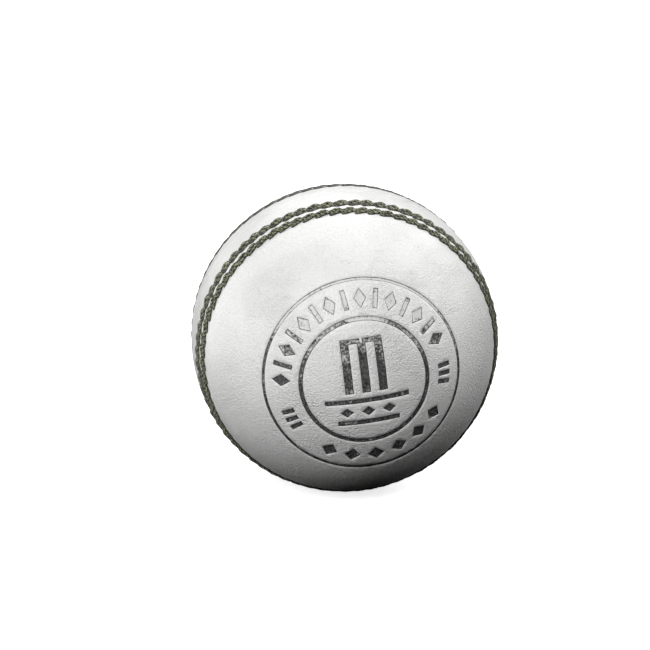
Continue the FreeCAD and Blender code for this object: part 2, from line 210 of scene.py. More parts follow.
def white_leather(name, colours):
    """Alum-tanned leather, dyed white, polished and lacquered: a fine uneven grain under a soft gloss."""
    material, tree = start_material(name)
    put = partial(add, tree)
    place = put("ShaderNodeTexCoord").outputs["Object"]

    # Grain cells about 0.7 mm across, with finer pores in them.
    cells = put(CELLS, sized(place, 0.7), feature="DISTANCE_TO_EDGE")
    cells = put(RANGE, {0: cells, 1: 0.0, 2: 0.3})
    pores = put(NOISE, sized(place, 0.45, Detail=5.0, Roughness=0.7))
    # Creases 3 mm apart, where the hide was stretched over the mould.
    pulled = put("ShaderNodeMapping", {"Vector": place, "Scale": (1.0, 1.0, 2.2)})
    crease = put(NOISE, sized(pulled, 3.5, Detail=3.0, Roughness=0.6))
    crease = put("SUBTRACT", (crease, 0.5))
    crease = put("ABSOLUTE", (crease,))
    crease = put(RANGE, {0: crease, 1: 0.0, 2: 0.05})
    relief = put("MULTIPLY_ADD", (crease, 0.22, pores))
    relief = put("MULTIPLY_ADD", (cells, 0.35, relief))
    # Smooth where the polish is thick, and rough in patches about 12 mm across. The relief is taken
    # from its middle level, so that a patch is rougher and not higher.
    patch = put(NOISE, sized(place, 12, Detail=3.0, Roughness=0.6))
    patch = put(RANGE, {0: patch, 1: 0.4, 2: 0.68, 3: 0.9, 4: 1.8}, interpolation_type="SMOOTHSTEP")
    relief = put("SUBTRACT", (relief, 0.84))
    relief = put("MULTIPLY", (relief, patch))
    bump = put("ShaderNodeBump", {"Height": relief, "Strength": 1.0, "Distance": 0.18 * MM})

    # The dye lies unevenly: soft clouds, thin in the pores, with grey specks and scuffs.
    clouds = put(NOISE, sized(place, 9, Detail=4.0, Roughness=0.55))
    tone = put("MULTIPLY", (pores, 0.9))
    tone = put("MULTIPLY_ADD", (clouds, 0.3, tone))
    tone = put(RANGE, {0: tone, 1: 0.3, 2: 0.8})
    base = put(MIX, {0: tone, 6: colours.leather_dull, 7: colours.leather}, data_type="RGBA")
    dots = put(CELLS, sized(place, 3.2))
    speck = put("MULTIPLY_ADD", (pores, 0.12, dots))
    speck = put(RANGE, {0: speck, 1: 0.13, 2: 0.09, 4: 0.5})
    drawn = put("ShaderNodeMapping",
                {"Vector": place, "Rotation": (0.3, 0.9, 0.2), "Scale": (0.12, 1.0, 1.0)})
    scuff = put(NOISE, sized(drawn, 0.8, Detail=2.0))
    scuff = put(RANGE, {0: scuff, 1: 0.68, 2: 0.76, 4: 0.3})
    worn = put("MAXIMUM", (speck, scuff))
    base = put(MIX, {0: worn, 6: base, 7: colours.leather_scuff}, data_type="RGBA")
    rough = put(RANGE, {0: clouds, 1: 0.35, 2: 0.65, 3: 0.41, 4: 0.47})
    shader = put("ShaderNodeBsdfPrincipled", {
        "Base Color": base, "Roughness": rough, "IOR": 1.5, "Normal": bump,
        "Coat Weight": 0.3, "Coat Roughness": 0.32, "Coat IOR": 1.5,
    })
    put("ShaderNodeOutputMaterial", {"Surface": shader})
    return material


def waxed_thread(name, colours, twists):
    """Linen thread of two plies, dyed olive and waxed: pale fuzzy fibres, with painted shade in the grooves
    between them.
    """
    material, tree = start_material(name)
    put = partial(add, tree)
    place = put("ShaderNodeTexCoord").outputs["Object"]
    uv = put("ShaderNodeAttribute", attribute_name="thread_uv").outputs["Vector"]
    along, across, up = put("ShaderNodeSeparateXYZ", (uv,)).outputs
    around = put("ARCTAN2", (up, across))
    spiral = put("MULTIPLY", (along, -4 * math.pi * twists))
    ply = put("MULTIPLY_ADD", (around, 2.0, spiral))
    ply = put("COSINE", (ply,))
    # Fibres are under 0.05 mm thick, and are drawn as streaks about 0.3 mm apart so that they show.
    warp = put(NOISE, sized(place, 0.67, Detail=2.0))
    fibre = put("MULTIPLY_ADD", (warp, 9.0, spiral))
    fibre = put("MULTIPLY_ADD", (around, 8.0, fibre))
    fibre = put("COSINE", (fibre,))
    speck = put(NOISE, sized(place, 0.28, Detail=3.0, Roughness=0.7))
    relief = put("MULTIPLY_ADD", (fibre, 0.09, speck))
    relief = put("MULTIPLY_ADD", (ply, 0.06, relief))
    # The colour follows the relief: painted shade in the grooves between plies and fibres and painted light
    # on their crowns, over fine specks.
    tone = put(RANGE, {0: relief, 1: 0.50, 2: 0.62}, interpolation_type="SMOOTHSTEP")
    # The thread darkens towards the leather: painted shade where it sinks into its bed and holes.
    depth = put(VECTOR_MATH, (place,), operation="LENGTH").outputs["Value"]
    top = put(RANGE, {0: depth, 1: BALL_R * MM, 2: (BALL_R + 0.5) * MM, 3: 0.0, 4: 1.0})
    tone = put("MULTIPLY", (tone, top))
    base = put(MIX, {0: tone, 6: colours.thread_shaded, 7: colours.thread}, data_type="RGBA")
    bump = put("ShaderNodeBump", {"Height": relief, "Strength": 1.0, "Distance": 0.3 * MM})
    shader = put("ShaderNodeBsdfPrincipled", {
        "Base Color": base, "Roughness": 0.75, "Normal": bump, "Sheen Weight": 0.15, "Sheen Roughness": 0.5,
    })
    put("ShaderNodeOutputMaterial", {"Surface": shader})
    return material


def stamped_foil(name, colours):
    """Pigment foil pressed into leather: dark, faintly metallic, flaked to white and worn at the top."""
    material, tree = start_material(name)
    put = partial(add, tree)
    place = put("ShaderNodeTexCoord").outputs["Object"]
    # Flakes about 0.6 mm across, lost in patches about 4 mm across.
    flakes = put(NOISE, sized(place, 0.59, Detail=6.0, Roughness=0.75))
    patches = put(NOISE, sized(place, 4.3, Detail=3.0))
    high = put("ShaderNodeSeparateXYZ", (place,)).outputs["Z"]
    rubbed = put(RANGE, {0: high, 1: 2 * MM, 2: 19 * MM, 3: 0.0, 4: 0.3}, interpolation_type="SMOOTHSTEP")
    worn = put("MULTIPLY_ADD", (patches, 0.6, flakes))
    worn = put("ADD", (worn, rubbed))
    # The walls of the pressed marks keep their dark foil, drawn as less worn there; this dark edge is
    # painted shade in the recesses, which outlines each mark.
    wall = put("ShaderNodeAttribute", attribute_name="wall").outputs["Fac"]
    worn = put("MULTIPLY_ADD", (wall, -0.5, worn))
    mask = put(RANGE, {0: worn, 1: 0.88, 2: 1.04})
    tone = put(RANGE, {0: flakes, 1: 0.35, 2: 0.65})
    ink = put(MIX, {0: tone, 6: colours.foil_dark, 7: colours.foil}, data_type="RGBA")
    base = put(MIX, {0: mask, 6: ink, 7: colours.leather_dull}, data_type="RGBA")
    metal = put(RANGE, {0: mask, 3: 0.4, 4: 0.0})
    rough = put(RANGE, {0: flakes, 3: 0.35, 4: 0.65})
    bump = put("ShaderNodeBump", {"Height": worn, "Strength": 0.8, "Distance": 0.1 * MM})
    shader = put("ShaderNodeBsdfPrincipled",
                 {"Base Color": base, "Roughness": rough, "Metallic": metal, "Normal": bump})
    put("ShaderNodeOutputMaterial", {"Surface": shader})
    return material


def plain_grained(name, light, dark, size_mm, roughness):
    """A hidden inner material: two tones broken up at its own grain size."""
    material, tree = start_material(name)
    put = partial(add, tree)
    place = put("ShaderNodeTexCoord").outputs["Object"]
    grain = put(NOISE, sized(place, size_mm, Detail=5.0, Roughness=0.65))
    base = put(MIX, {0: grain, 6: colour(dark), 7: colour(light)}, data_type="RGBA")
    bump = put("ShaderNodeBump", {"Height": grain, "Strength": 0.5, "Distance": 0.1 * size_mm * MM})
    shader = put("ShaderNodeBsdfPrincipled", {"Base Color": base, "Roughness": roughness, "Normal": bump})
    put("ShaderNodeOutputMaterial", {"Surface": shader})
    return material


# Shapes on the ball. A cup is drawn in its own frame, with its pole along +Z and the join at z = 0,
# on a flat map whose distances from the pole are those round the ball.


def from_map(flat):
    """Points of the flat map, as unit directions in the cup's frame."""
    flat = np.asarray(flat, float)
    reach = np.hypot(flat[:, 0], flat[:, 1])
    angle = reach / BALL_R
    spread = np.where(reach > 1e-9, np.sin(angle) / np.maximum(reach, 1e-9), 1 / BALL_R)
    return np.column_stack([flat[:, 0] * spread, flat[:, 1] * spread, np.cos(angle)])


def to_map(directions):
    """Unit directions in the cup's frame, as points of the flat map."""
    across = np.hypot(directions[:, 0], directions[:, 1])
    angle = np.arctan2(across, directions[:, 2])
    scale = np.where(across > 1e-12, BALL_R * angle / np.maximum(across, 1e-12), BALL_R)
    return np.column_stack([directions[:, 0] * scale, directions[:, 1] * scale])


def stamp_to_cup(stamp, flat):
    """Points of the stamp's own drawing, as points of the cup's flat map."""
    aim = (Matrix.Rotation(stamp.side, 3, "Y") @ Matrix.Rotation(-stamp.lift, 3, "X")
           @ Matrix.Rotation(stamp.turn, 3, "Z"))
    return to_map(from_map(flat) @ np.array(aim).T)


def side_matrix(side):
    """From a cup's own frame to the ball's: its pole turns to -Y or +Y."""
    return Matrix.Rotation(math.radians(-90 * SIDES[side]), 4, "X")


def bar(right, up, wide, tall):
    """Corners of an upright rectangle about its middle, anticlockwise."""
    return [(right + x * wide / 2, up + y * tall / 2) for x, y in ((-1, -1), (1, -1), (1, 1), (-1, 1))]


def lozenge(right, up, wide, tall):
    """Corners of a lozenge about its middle, anticlockwise."""
    return [(right + x * wide / 2, up + y * tall / 2) for x, y in ((0, -1), (1, 0), (0, 1), (-1, 0))]


def round_ring(corners, reach, degrees):
    """Move a mark drawn upright at the centre out to the border, with its top outwards."""
    turn = math.radians(degrees - 90)
    moved = [(right, up + reach) for right, up in corners]
    return [(right * math.cos(turn) - up * math.sin(turn), right * math.sin(turn) + up * math.cos(turn))
            for right, up in moved]


CIRCLE_CORNERS = 180


def circle(radius, clockwise=False):
    """Corners of a circle about the stamp's centre."""
    step = (-1 if clockwise else 1) * 2 * math.pi
    angles = [step * i / CIRCLE_CORNERS for i in range(CIRCLE_CORNERS)]
    return [(radius * math.cos(angle), radius * math.sin(angle)) for angle in angles]


def wicket_outline(left, foot, shoulder, top, stump_wide, notch):
    """Corners of three stumps under two bails, symmetrical about right = 0, anticlockwise."""
    half = stump_wide / 2
    comb = []
    for middle in (left + half, 0, -left - half):
        comb += [(middle - half, shoulder), (middle - half, foot),
                 (middle + half, foot), (middle + half, shoulder)]
    bails = [(-left, top), (notch, top), (notch, shoulder), (-notch, shoulder), (-notch, top), (left, top)]
    return comb[1:-1] + bails


# The emblem, as shares of the clear radius inside the inner ring: the wicket's foot, height, half
# width and stump, then the height and width of each crease, and the three marks between them.
WICKET_FOOT, WICKET_TALL, WICKET_HALF, STUMP_WIDE = -0.15, 0.88, 0.34, 0.135
CREASES = ((-0.28, 1.36), (-0.66, 1.0))
CREASE_MARK_UP, CREASE_MARK_STEP = -0.47, 0.34

# The border, in degrees anticlockwise from the stamp's right-hand side, and heights as shares of
# the band between the border's two gaps.
BORDER_FROM, BORDER_STEP, BORDER_COUNT = 20, 11, 15
SIDE_MARKS, SIDE_TALL = (198, 204, 210, 348, 354, 0), 0.7
FOOT_FROM, FOOT_STEP, FOOT_COUNT, FOOT_TALL = 240, 16.8, 6, 0.82


def stamp_marks(stamp):
    """Outlines of the stamp's marks by the CAD node that each belongs to."""
    clear = stamp.inner_ring - stamp.inner_line / 2
    foot, stroke = WICKET_FOOT * clear, stamp.stroke
    top = foot + WICKET_TALL * clear
    wicket = [wicket_outline(-WICKET_HALF * clear, foot, top - stroke, top, STUMP_WIDE * clear, stroke / 4)]
    for up, wide in CREASES:
        wicket.append(bar(0, clear * up, clear * wide, stroke))
    for step in (-1, 0, 1):
        wicket.append(lozenge(CREASE_MARK_STEP * clear * step, CREASE_MARK_UP * clear,
                              stamp.border_wide, 2 * stroke))

    inside = stamp.inner_ring + stamp.inner_line / 2 + stamp.border_gap
    outside = stamp.outer_ring - stamp.outer_line / 2 - stamp.border_gap
    middle, tall = (inside + outside) / 2, outside - inside
    border = []
    for number in range(BORDER_COUNT):
        shape = bar(0, 0, stroke, tall) if number % 2 else lozenge(0, 0, stamp.border_wide, tall)
        border.append(round_ring(shape, middle, BORDER_FROM + BORDER_STEP * number))
    for degrees in SIDE_MARKS:
        border.append(round_ring(bar(0, 0, stroke, SIDE_TALL * tall), middle, degrees))
    foot_mark = lozenge(0, 0, stamp.foot_wide, FOOT_TALL * tall)
    foot_marks = [round_ring(foot_mark, middle, FOOT_FROM + FOOT_STEP * number)
                  for number in range(FOOT_COUNT)]
    marks = {"stamp_wicket": wicket, "stamp_border": border, "stamp_foot_lozenges": foot_marks}
    for ring in ("inner", "outer"):
        radius, half = getattr(stamp, f"{ring}_ring"), getattr(stamp, f"{ring}_line") / 2
        marks[f"stamp_{ring}_ring"] = [circle(radius + half), circle(radius - half, clockwise=True)]
    return marks


def resample(loop, step):
    """A closed outline with its long edges divided."""
    points = []
    for start, end in zip(loop, loop[1:] + loop[:1]):
        start, end = np.array(start), np.array(end)
        count = max(1, math.ceil(np.linalg.norm(end - start) / step))
        points += [start + (end - start) * i / count for i in range(count)]
    return np.array(points)


def offset(loop, distance):
    """An outline moved outwards, or inwards by a negative distance."""
    before, after = np.roll(loop, 1, axis=0), np.roll(loop, -1, axis=0)
    first, second = loop - before, after - loop
    first /= np.linalg.norm(first, axis=1, keepdims=True)
    second /= np.linalg.norm(second, axis=1, keepdims=True)
    normals = np.column_stack([first[:, 1] + second[:, 1], -(first[:, 0] + second[:, 0])])
    size = np.linalg.norm(normals, axis=1, keepdims=True)
    unit = normals / np.maximum(size, 1e-9)
    lean = np.sum(unit * np.column_stack([first[:, 1], -first[:, 0]]), axis=1, keepdims=True)
    return loop + unit * distance / np.maximum(lean, 0.5)


# Rows of a staggered grid stand this share of a step apart.
HEX_ROW = 0.866


def hex_grid(radius, step, keep):
    """Points of a staggered grid inside a circle, where keep says so."""
    rows = int(2 * radius / (step * HEX_ROW)) + 1
    across = np.arange(-radius, radius, step)
    points = []
    for row in range(rows):
        up = -radius + row * step * HEX_ROW
        right = across + (step / 2 if row % 2 else 0)
        points.append(np.column_stack([right, np.full_like(right, up)]))
    points = np.vstack(points)
    points = points[np.hypot(points[:, 0], points[:, 1]) < radius]
    return points[keep(points)]


# A mark's wall: how far outside and inside the mark's outline it starts and ends, how deep it is at
# the outline as a share of the mark's depth, and how far apart its points are.
EDGE_OUT, EDGE_IN, EDGE_SHARE, EDGE_STEP = 0.12, -0.2, 0.45, 0.4

# A stitch's bed and the swell of leather under its row: how wide and how deep or high.
BED_WIDE, BED_DEEP, SWELL_WIDE, SWELL_HIGH = 1.1, 0.25, 2.6, 0.06

# The dip where the two cups meet: how deep and how wide on each side.
JOIN_DEEP, JOIN_WIDE = 0.07, 0.12

# Points stand 0.9 mm apart on the open leather, and no nearer than 0.26 mm to a mark's outline. The
# band beside the join, out past the outer row, has finer rings of 560 points.
OPEN_STEP, CLEAR_OF_MARK, RING_STEP, RING_COUNT, BAND_PAST_ROW = 0.9, 0.26, 0.42, 560, 2.6

# The leather's thickness, and the rings that close its inside: how many, and how high the last one is.
COVER_WALL, INSIDE_RINGS, INSIDE_TOP = 3.6, 14, 86


def inside_any(points, loops):
    """Which points lie inside the outlines, by the even-odd rule."""
    result = np.zeros(len(points), bool)
    for loop in loops:
        low, high = loop.min(axis=0) - 0.01, loop.max(axis=0) + 0.01
        near = np.all((points > low) & (points < high), axis=1)
        if not near.any():
            continue
        x, y = points[near, 0][:, None], points[near, 1][:, None]
        x0, y0 = loop[:, 0][None], loop[:, 1][None]
        x1, y1 = np.roll(loop[:, 0], -1)[None], np.roll(loop[:, 1], -1)[None]
        crosses = (y0 > y) != (y1 > y)
        at = x0 + (y - y0) * (x1 - x0) / np.where(y1 == y0, 1e-12, y1 - y0)
        result[near] ^= (np.sum(crosses & (x < at), axis=1) % 2).astype(bool)
    return result


def seam_field(seam, directions):
    """How far the leather is pulled in, in mm, at the beds and holes of the stitches."""
    latitude = np.arcsin(np.clip(directions[:, 2], -1, 1))
    longitude = np.arctan2(directions[:, 1], directions[:, 0])
    pitch = 2 * math.pi / seam.count
    sunk = np.zeros(len(directions))
    c, s = math.cos(seam.slant), math.sin(seam.slant)
    for row, reach in enumerate((seam.inner_row, seam.outer_row)):
        level = reach / BALL_R
        phase = 0.5 * row * pitch
        along = (longitude - phase + pitch / 2) % pitch - pitch / 2
        east = along * math.cos(level) * BALL_R
        north = (latitude - level) * BALL_R
        length, side = east * c + north * s, -east * s + north * c
        bed = np.exp(-(side / BED_WIDE) ** 2 - (length / (0.5 * seam.length)) ** 4)
        sunk = np.maximum(sunk, BED_DEEP * bed) - SWELL_HIGH * np.exp(-((north / SWELL_WIDE) ** 2))
    return sunk


def stamp_loops(stamp):
    """Three outlines for each mark, their depths, and the outlines that bound each node's foil."""
    loops, depths, regions = [], [], {}
    for node, outlines in stamp_marks(stamp).items():
        regions[node] = []
        for outline in outlines:
            middle = resample(outline, EDGE_STEP)
            for move, share in ((EDGE_OUT, 0.0), (0.0, EDGE_SHARE), (EDGE_IN, 1.0)):
                ring = stamp_to_cup(stamp, offset(middle, move))
                loops.append(ring)
                depths.append(np.full(len(ring), -share * stamp.depth))
            regions[node].append(loops[-2])
    return loops, depths, regions


def clear_of(loops):
    """A test that keeps grid points from crowding an outline."""
    if not loops:
        return lambda points: np.ones(len(points), bool)
    every = np.vstack(loops)
    tree = kdtree.KDTree(len(every))
    for index, point in enumerate(every):
        tree.insert((*point, 0), index)
    tree.balance()
    return lambda points: np.array([tree.find((*point, 0))[2] > CLEAR_OF_MARK for point in points])


def ring_points(reach, turn=0.0):
    """A ring of points on the flat map, turned by a share of their spacing."""
    angle = 2 * math.pi * (np.arange(RING_COUNT) + turn) / RING_COUNT
    return np.column_stack([reach * np.cos(angle), reach * np.sin(angle)])


def cup_map(seam, loops, depths):
    """The flat map's points and fixed edges, how deep each point is pressed, and where its rim starts."""
    rim = BALL_R * math.pi / 2
    band = rim - seam.outer_row - BAND_PAST_ROW
    clear = clear_of(loops)
    points = [hex_grid(rim, OPEN_STEP, lambda p: (np.hypot(p[:, 0], p[:, 1]) < band) & clear(p))]
    rings = int((rim - band) / RING_STEP)
    for ring in range(1, rings):
        points.append(ring_points(band + (rim - band) * ring / rings, 0.5 * (ring % 2)))
    rim_start = sum(len(p) for p in points)
    points.append(ring_points(rim))
    start, edges = rim_start, []
    for loop in [points[-1], *loops]:
        edges += [(start + i, start + (i + 1) % len(loop)) for i in range(len(loop))]
        start += len(loop)
    pressed = np.concatenate([np.zeros(rim_start + RING_COUNT), *depths])
    return np.vstack(points + loops), edges, pressed, rim_start


def close_inside(rim_verts, rim_turns, total):
    """The join face and the smooth inside, which are plain because only their outline is ever seen."""
    inner, count = BALL_R - COVER_WALL, len(rim_verts)
    points, faces, previous = [], [], rim_verts
    for degrees in np.linspace(0, INSIDE_TOP, INSIDE_RINGS):
        c, s = math.cos(math.radians(degrees)), math.sin(math.radians(degrees))
        points.append(np.column_stack([inner * c * np.cos(rim_turns), inner * c * np.sin(rim_turns),
                                       np.full(count, inner * s)]))
        current = list(range(total, total + count))
        faces += [(previous[i], current[i], current[(i + 1) % count], previous[(i + 1) % count])
                  for i in range(count)]
        total += count
        previous = current
    return points, faces + [tuple(reversed(previous))]


def make_cup(side, seam, stamp):
    """One leather cup as a closed shell: moulded outside, join face and smooth inside."""
    loops, depths, regions = stamp_loops(stamp) if stamp else ([], [], {})
    points, edges, pressed, rim_start = cup_map(seam, loops, depths)
    rim_end = rim_start + RING_COUNT
    made = geometry.delaunay_2d_cdt([Vector(p) for p in points], edges, [], 0, 1e-6)
    verts, _, shell, sources = made[:4]
    flat = np.array([tuple(v) for v in verts])
    height = np.array([pressed[s[0]] if s else 0.0 for s in sources])
    if stamp:
        on_loop = np.array([bool(s) and s[0] >= rim_end for s in sources])
        marks = [loop for outlines in regions.values() for loop in outlines]
        height[inside_any(flat, marks) & ~on_loop] = -stamp.depth
        # All but the foot of a mark's wall.
        walls = (on_loop & (height > -0.9 * stamp.depth)).astype(float)
    directions = from_map(flat)
    height = height - seam_field(seam, directions)
    edge = np.arcsin(np.clip(directions[:, 2], 0, 1)) * BALL_R
    height = height - JOIN_DEEP * np.exp(-((edge / JOIN_WIDE) ** 2))
    outer = directions * (BALL_R + height)[:, None]

    shell = [tuple(f) for f in shell if len(f) >= 3]
    rim_verts = [i for i, s in enumerate(sources) if s and rim_start <= s[0] < rim_end]
    rim_verts.sort(key=lambda i: math.atan2(flat[i][1], flat[i][0]))
    rim_turns = np.array([math.atan2(flat[i][1], flat[i][0]) for i in rim_verts])
    inside, inner_faces = close_inside(rim_verts, rim_turns, len(outer))
    cup = new_mesh(f"{side}_leather_cup", np.vstack([outer, *inside]), shell + inner_faces,
                   side_matrix(side))
    if stamp:
        keep_marks(cup.data, flat, shell, walls, regions)
    return cup


def keep_marks(mesh, flat, shell, walls, regions):
    """Store on the cup which of its faces lie in which mark, and which points are on a mark's wall."""
    middles = np.array([flat[list(face)].mean(axis=0) for face in shell])
    marks = np.zeros(len(mesh.polygons), int)
    for number, outlines in enumerate(regions.values(), 1):
        marks[:len(shell)][inside_any(middles, outlines)] = number
    on_wall = np.zeros(len(mesh.vertices))
    on_wall[:len(walls)] = walls
    mesh.attributes.new("mark", "INT", "FACE").data.foreach_set("value", marks)
    mesh.attributes.new("wall", "FLOAT", "POINT").data.foreach_set("value", on_wall)


def new_mesh(name, points_mm, faces, matrix):
    """A smooth mesh object at the origin, from points in millimetres in a cup's frame."""
    mesh = bpy.data.meshes.new(name)
    mesh.from_pydata([tuple(p) for p in np.asarray(points_mm) * MM], [], faces)
    mesh.transform(matrix)
    if mesh.validate():
        raise RuntimeError(f"{name} has faces that don't hold together")
    mesh.shade_smooth()
    made = bpy.data.objects.new(name, mesh)
    bpy.context.scene.collection.objects.link(made)
    return made


class BALL_OT_cups(bpy.types.Operator):
    """Make the two leather cups, with the stamp's recesses and the beds of the stitches"""

    bl_idname = "ball.cups"
    bl_label = "Leather cups"

    def execute(self, context):
        scene = context.scene
        leather = white_leather("White finished leather", scene.ball_colours)
        for side in SIDES:
            cup = make_cup(side, scene.ball_seam, scene.ball_stamp if side == "front" else None)
            cup.data.materials.append(leather)
            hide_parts(f"{side}_cover")
            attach(cup, "root")
        return {"FINISHED"}


# How far the foil's film stands above the pressed leather, and how far below it.
FOIL_ABOVE, FOIL_BELOW = 0.018, 0.012


def make_foil(name, cup, number):
    """Foil on the floor and walls of one group of marks, as a thin closed film over the cup's faces."""
    mesh = cup.data
    marks = np.empty(len(mesh.polygons), int)
    mesh.attributes["mark"].data.foreach_get("value", marks)
    chosen = np.array([mesh.polygons[int(i)].vertices[:] for i in np.flatnonzero(marks == number)])
    used, inverse = np.unique(chosen, return_inverse=True)
    chosen = inverse.reshape(-1, 3)
    points = np.array([mesh.vertices[int(i)].co for i in used]) / MM
    outward = points / np.linalg.norm(points, axis=1, keepdims=True)
    count = len(used)
    faces = [tuple(f) for f in chosen] + [tuple(f + count)[::-1] for f in chosen]
    sides = {}
    for a, b, c in chosen:
        for edge in ((a, b), (b, c), (c, a)):
            if edge[::-1] in sides:
                del sides[edge[::-1]]
            else:
                sides[edge] = True
    faces += [(b, a, a + count, b + count) for a, b in sides]
    layers = np.vstack([points + outward * FOIL_ABOVE, points - outward * FOIL_BELOW])
    film = new_mesh(name, layers, faces, Matrix())
    walls = [mesh.attributes["wall"].data[int(i)].value for i in used]
    film.data.attributes.new("wall", "FLOAT", "POINT").data.foreach_set("value", walls * 2)
    return film


class BALL_OT_foil(bpy.types.Operator):
    """Lay the stamp's foil in its pressed marks"""

    bl_idname = "ball.foil"
    bl_label = "Stamp foil"

    def execute(self, context):
        cup = bpy.data.objects.get("front_leather_cup")
        if cup is None:
            raise RuntimeError("The foil needs the stamped cup, which is made first")
        finish = stamped_foil("Stamping foil", context.scene.ball_colours)
        for number, node in enumerate(stamp_marks(context.scene.ball_stamp), 1):
            film = make_foil(f"{node}_foil", cup, number)
            film.data.materials.append(finish)
            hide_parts(node)
            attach(film, "root")
        return {"FINISHED"}


# The seam's stitches, one tree for all four rows.

STITCH_INPUTS = dict.fromkeys((
    "Phase", "Ball radius", "Row", "Slant", "Length", "Strand", "Apart", "Proud", "Arch", "Curl",
    "Ply", "Twists", "Fuzz", "Side"), "Float") | {"Count": "Int", "Seed": "Int", "Material": "Material"}

# A strand's points along and round it.
STRAND_POINTS, STRAND_SIDES = 10, 7

# Where along a strand its end starts to turn towards its hole, and how sharply. Then how sharply its
# start and its end sink into the leather, how far the start sinks as a share of the strand's
# thickness, and how much thinner both are.
CURL_FROM, CURL_SHARP = 0.62, 2.2
START_SHARP, END_SHARP, START_SINK, END_TAPER = 3.0, 9.0, 0.5, 0.3

# The second strand lies this share of a length behind the first, give or take the slip.
STRAND_LAG, SLIP = 0.1, 0.25 * MM

# How far each strand may differ from the next: least, most, and its own step of the seed.
UNEVEN = {"turn": (-0.09, 0.09, 1), "long": (0.94, 1.06, 2), "wide": (0.88, 1.12, 3),
          "tall": (0.85, 1.1, 4), "apart": (0.8, 1.15, 5)}

# Loose fibres to a square metre of thread, a fibre's radius at its root and tip, the most that it
# leans, and the shortest one as a share of the longest.
FIBRE_DENSITY, FIBRE_ROOT, FIBRE_TIP = 1.1e6, 0.025 * MM, 0.008 * MM
FIBRE_LEAN, FIBRE_SHORTEST = 1.1, 0.4


def strand_tube(tree, given):
    """One strand as a tube, with a place along and round it stored for its material."""
    put = partial(add, tree)
    # Its middle line runs from a low start to the end that turns down into its hole.
    line = put("GeometryNodeCurvePrimitiveLine", {"Start": (-0.5, 0, 0), "End": (0.5, 0, 0)})
    line = put("GeometryNodeResampleCurve", {"Curve": line, "Count": STRAND_POINTS})
    factor = put("GeometryNodeSplineParameter").outputs["Factor"]
    right = put("SUBTRACT", (0.5, factor))
    right = put("MULTIPLY", (right, given["Length"]))
    bow = put("MULTIPLY", (factor, math.pi))
    bow = put("SINE", (bow,))
    bow = put("MULTIPLY", (bow, given["Arch"]))
    curl = put(RANGE, {0: factor, 1: CURL_FROM, 2: 1.0})
    curl = put("POWER", (curl, CURL_SHARP))
    curl = put("MULTIPLY", (curl, given["Curl"]))
    bend = put("SUBTRACT", (curl, bow))
    start = put("SUBTRACT", (1.0, factor))
    start = put("POWER", (start, START_SHARP))
    end = put("POWER", (factor, END_SHARP))
    dip = put("MULTIPLY_ADD", (start, START_SINK, end))
    dip = put("ADD", (dip, 0.5))
    level = put("MULTIPLY", (dip, given["Strand"]))
    level = put("SUBTRACT", (given["Proud"], level))
    shape = put(XYZ, (right, bend, level))
    line = put("GeometryNodeSetPosition", {"Geometry": line, "Position": shape})
    taper = put("ADD", (start, end))
    taper = put("MULTIPLY_ADD", (taper, -END_TAPER, 1.0))
    line = put("GeometryNodeSetCurveRadius", {"Curve": line, "Radius": taper})
    line = put("GeometryNodeSetCurveNormal", {"Curve": line}, mode="Z_UP")
    keep = put("GeometryNodeCaptureAttribute", {"Geometry": line})
    keep.capture_items.new("FLOAT", "Along")
    tree.links.new(factor, keep.inputs["Along"])

    # Its section is pushed in and out along the strand as two plies wind round each other.
    ring = put("GeometryNodeCurvePrimitiveCircle", {"Resolution": STRAND_SIDES, "Radius": 0.5})
    keep_ring = put("GeometryNodeCaptureAttribute", {"Geometry": ring})
    keep_ring.capture_items.new("FLOAT", "Round")
    round_factor = put("GeometryNodeSplineParameter").outputs["Factor"]
    tree.links.new(round_factor, keep_ring.inputs["Round"])
    wide = put(XYZ, (given["Strand"], given["Strand"], 1.0))
    ring = put("GeometryNodeTransform", {"Geometry": keep_ring.outputs[0], "Scale": wide})
    tube = put("GeometryNodeCurveToMesh",
               {"Curve": keep.outputs[0], "Profile Curve": ring, "Fill Caps": True})
    around = put("MULTIPLY", (keep_ring.outputs["Round"], 2 * math.pi))
    spiral = put("MULTIPLY", (keep.outputs["Along"], given["Twists"]))
    spiral = put("MULTIPLY", (spiral, -4 * math.pi))
    lobes = put("MULTIPLY_ADD", (around, 2.0, spiral))
    lobes = put("COSINE", (lobes,))
    lobes = put("MULTIPLY", (lobes, given["Ply"]))
    normal = put("GeometryNodeInputNormal")
    push = put(VECTOR_MATH, {0: normal, "Scale": lobes}, operation="SCALE")
    tube = put("GeometryNodeSetPosition", {"Geometry": tube, "Offset": push})
    across = put("COSINE", (around,))
    up = put("SINE", (around,))
    uv = put(XYZ, (keep.outputs["Along"], across, up))
    return put("GeometryNodeStoreNamedAttribute",
               {"Geometry": tube, "Name": "thread_uv", "Value": uv},
               data_type="FLOAT_VECTOR", domain="POINT")


def row_points(tree, given):
    """Points round a row's circle, and the turn that faces a stitch outwards along the row."""
    put = partial(add, tree)
    angle = put("DIVIDE", (given["Row"], given["Ball radius"]))
    reach = put("COSINE", (angle,))
    reach = put("MULTIPLY", (reach, given["Ball radius"]))
    high = put("SINE", (angle,))
    high = put("MULTIPLY", (high, given["Ball radius"]))
    high = put(XYZ, {2: high})
    first = put(XYZ, {2: given["Phase"]})
    points = put("GeometryNodeMeshCircle", {"Vertices": given["Count"], "Radius": reach})
    points = put("GeometryNodeTransform", {"Geometry": points, "Translation": high, "Rotation": first})
    outward = put("GeometryNodeInputPosition")
    east = put(VECTOR_MATH, ((0, 0, 1), outward), operation="CROSS_PRODUCT")
    facing = put("FunctionNodeAxesToRotation", {"Primary Axis": outward, "Secondary Axis": east},
                 primary_axis="Z", secondary_axis="X")
    return points, facing


